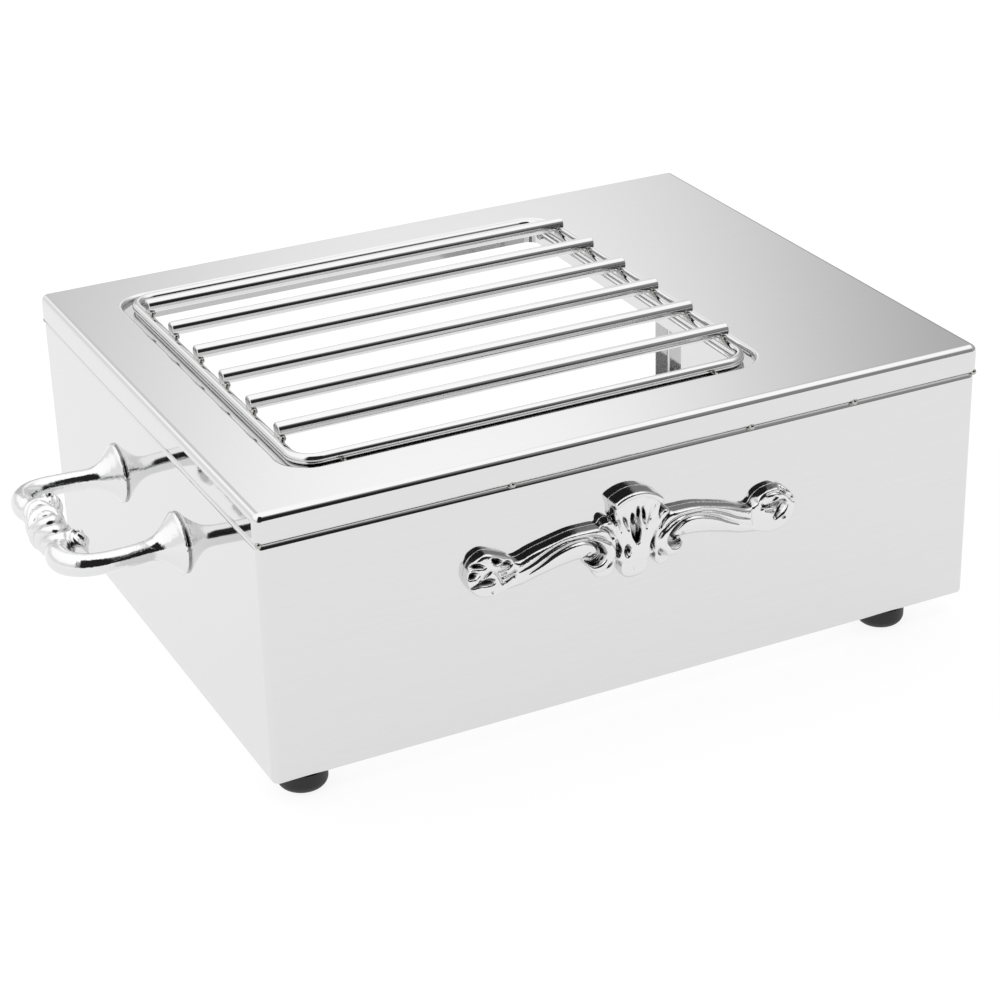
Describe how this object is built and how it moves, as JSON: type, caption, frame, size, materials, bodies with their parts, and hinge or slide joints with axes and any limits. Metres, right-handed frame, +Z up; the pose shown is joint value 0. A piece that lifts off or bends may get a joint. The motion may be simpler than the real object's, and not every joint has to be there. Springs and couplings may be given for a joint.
{
  "type": "buffet burner housing",
  "caption": "Polished steel buffet burner housing, open below and behind, with a rod grate let into its top, cast scroll handles at the sides and a cast scroll ornament on the front.",
  "frame": {"origin": "centre of the footprint, handles and front ornament included, on the surface that the feet stand on", "axes": "+X to the right as seen from the front, +Y from the front wall to the open back, +Z up"},
  "size_m": [0.626, 0.3804, 0.1952],
  "materials": {
    "cover_steel": "mirror-polished stainless sheet",
    "body_steel": "mirror-polished stainless sheet",
    "wire_steel": "polished bent wire",
    "rod_steel": "polished bright-drawn bar",
    "weld_steel": "weld bead, wire-brushed",
    "cast_chrome": "bright chrome over a lightly lumpy casting",
    "zinc_steel": "zinc-plated fastener",
    "black_rubber": "matt moulded rubber"
  },
  "bodies": {
    "root": {"top_cover": "cover_steel", "body_wrap": "body_steel", "cover_tacks": "weld_steel", "grate_frame": "wire_steel", "grate_rod_1": "rod_steel", "grate_rod_2": "rod_steel", "grate_rod_3": "rod_steel", "grate_rod_4": "rod_steel", "grate_rod_5": "rod_steel", "grate_rod_6": "rod_steel", "rod_welds": "weld_steel", "grate_tacks": "weld_steel", "front_ornament": "cast_chrome", "ornament_studs": "zinc_steel", "ornament_washers": "zinc_steel", "ornament_nuts": "zinc_steel", "left_handle": "cast_chrome", "right_handle": "cast_chrome", "left_handle_screws": "zinc_steel", "right_handle_screws": "zinc_steel", "left_handle_washers": "zinc_steel", "right_handle_washers": "zinc_steel", "foot_front_left": "black_rubber", "foot_front_right": "black_rubber", "foot_rear_left": "black_rubber", "foot_rear_right": "black_rubber", "foot_screws": "zinc_steel", "foot_washers": "zinc_steel", "foot_nuts": "zinc_steel"}
  },
  "joints": []
}
